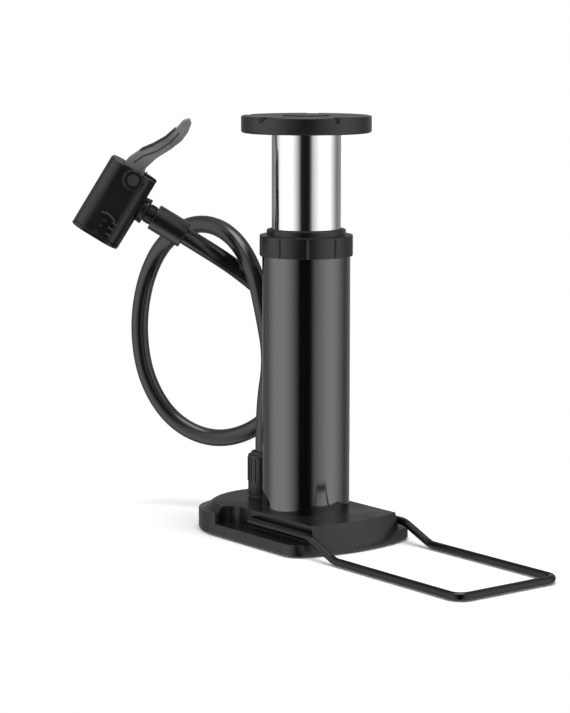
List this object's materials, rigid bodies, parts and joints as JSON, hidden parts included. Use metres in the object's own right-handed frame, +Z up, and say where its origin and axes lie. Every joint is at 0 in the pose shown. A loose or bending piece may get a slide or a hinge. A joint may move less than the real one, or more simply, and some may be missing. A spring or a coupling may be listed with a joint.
{
  "type": "foot air pump",
  "caption": "Upright foot air pump: sprung step pad on a chromed plunger, black cylinder, folding wire foot bar and a short looped hose with a lever-lock valve head.",
  "frame": {"origin": "on the floor, under the centre of the cylinder", "axes": "+Z up along the cylinder, +X from the cylinder towards the foot bar's far end"},
  "size_m": [0.2894, 0.1238, 0.2171],
  "materials": {
    "black_plastic": "satin moulded",
    "plate_steel": "zinc plated",
    "sole_rubber": "ribbed",
    "zinc_steel": "bright zinc",
    "inner_plastic": "plain",
    "barrel_black": "black anodised, satin gloss",
    "seal_rubber": "smooth",
    "hose_rubber": "semi-gloss",
    "spring_steel": "oiled",
    "chrome_tube": "polished",
    "bar_wire": "gloss black coat",
    "lever_grey": "satin",
    "brass": "plain"
  },
  "bodies": {
    "pump_base": {"base_housing": "black_plastic", "base_plate": "plate_steel", "rubber_sole": "sole_rubber", "base_screws": "zinc_steel", "air_manifold": "inner_plastic", "barrel_gasket": "seal_rubber", "barrel": "barrel_black", "barrel_foot": "inner_plastic", "spring_seat": "zinc_steel", "return_spring": "spring_steel", "center_tube": "zinc_steel", "center_tube_nut": "zinc_steel", "piston_head": "inner_plastic", "piston_cup_seal": "seal_rubber", "piston_nut": "zinc_steel", "check_spring": "spring_steel", "guide_bush": "inner_plastic", "top_collar": "black_plastic", "wiper_seal": "seal_rubber", "foot_bar_bushes": "inner_plastic", "hose_connector": "black_plastic", "connector_seal": "seal_rubber", "hose": "hose_rubber", "hose_sleeve": "hose_rubber", "hose_end_nut": "black_plastic", "head_shell": "black_plastic", "head_cap": "black_plastic", "valve_gasket": "seal_rubber", "lever_pin": "zinc_steel"},
    "plunger": {"plunger_tube": "chrome_tube", "plunger_guide_ring": "inner_plastic", "stop_bumper": "seal_rubber", "pad_plug": "inner_plastic", "plug_o_ring": "seal_rubber", "step_pad": "black_plastic", "pad_cover": "black_plastic", "pad_screw": "zinc_steel"},
    "foot_bar": {"foot_bar": "bar_wire", "foot_bar_retainers": "zinc_steel"},
    "check_ball": {"check_ball": "spring_steel"},
    "lever": {"head_lever": "lever_grey"},
    "pusher": {"gasket_pusher": "inner_plastic", "valve_depressor": "brass"}
  },
  "joints": [
    {"name": "plunger_slide", "type": "slide", "parent": "pump_base", "child": "plunger", "axis": [0, 0, -1], "range_m": [0, 0.05], "stiffness_N_per_m": 450, "springref_m": -0.025, "deforming": ["return_spring"]},
    {"name": "foot_bar_fold", "type": "hinge", "parent": "pump_base", "child": "foot_bar", "pos_m": [-0.009, 0, 0.0102], "axis": [0, -1, 0], "range_deg": [0, 76]},
    {"name": "check_valve", "type": "slide", "parent": "pump_base", "child": "check_ball", "axis": [0, 0, -1], "range_m": [0, 0.001], "stiffness_N_per_m": 60, "springref_m": -0.001, "deforming": ["check_spring"]},
    {"name": "lever_turn", "type": "hinge", "parent": "pump_base", "child": "lever", "pos_m": [-0.0744, -0.05456, 0.18288], "axis": [-0.788, 0.6157, 0], "range_deg": [0, 65]},
    {"name": "pusher_slide", "type": "slide", "parent": "pump_base", "child": "pusher", "axis": [-0.3217, -0.4117, -0.8526], "range_m": [0, 0.0013]}
  ],
  "couplings": [
    {"joint": "pusher_slide", "follows": "lever_turn", "m_per_rad": 0.0010137}
  ]
}
